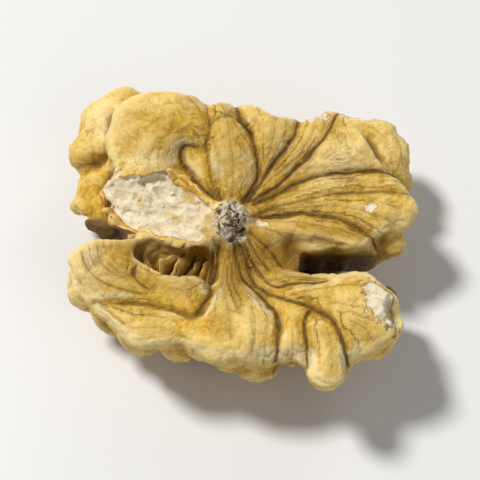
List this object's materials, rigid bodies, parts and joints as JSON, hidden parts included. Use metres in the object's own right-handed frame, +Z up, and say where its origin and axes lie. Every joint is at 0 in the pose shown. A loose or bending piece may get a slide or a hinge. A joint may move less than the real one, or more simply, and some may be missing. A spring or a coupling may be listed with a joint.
{
  "type": "walnut kernel half",
  "caption": "Half of a shelled walnut kernel lying on its folded outer side, with its two-lobed inner face and veins up.",
  "frame": {"origin": "on the surface that the kernel rests on, under the middle of its box", "axes": "+X along the cleft between the two lobes, +Y across the lobes, +Z up from the folded outer side to the inner face"},
  "size_m": [0.035, 0.034, 0.0128],
  "materials": {
    "skin": "thin satin seed skin with darker veins over pale flesh"
  },
  "bodies": {
    "root": {"kernel": "skin"}
  },
  "joints": []
}
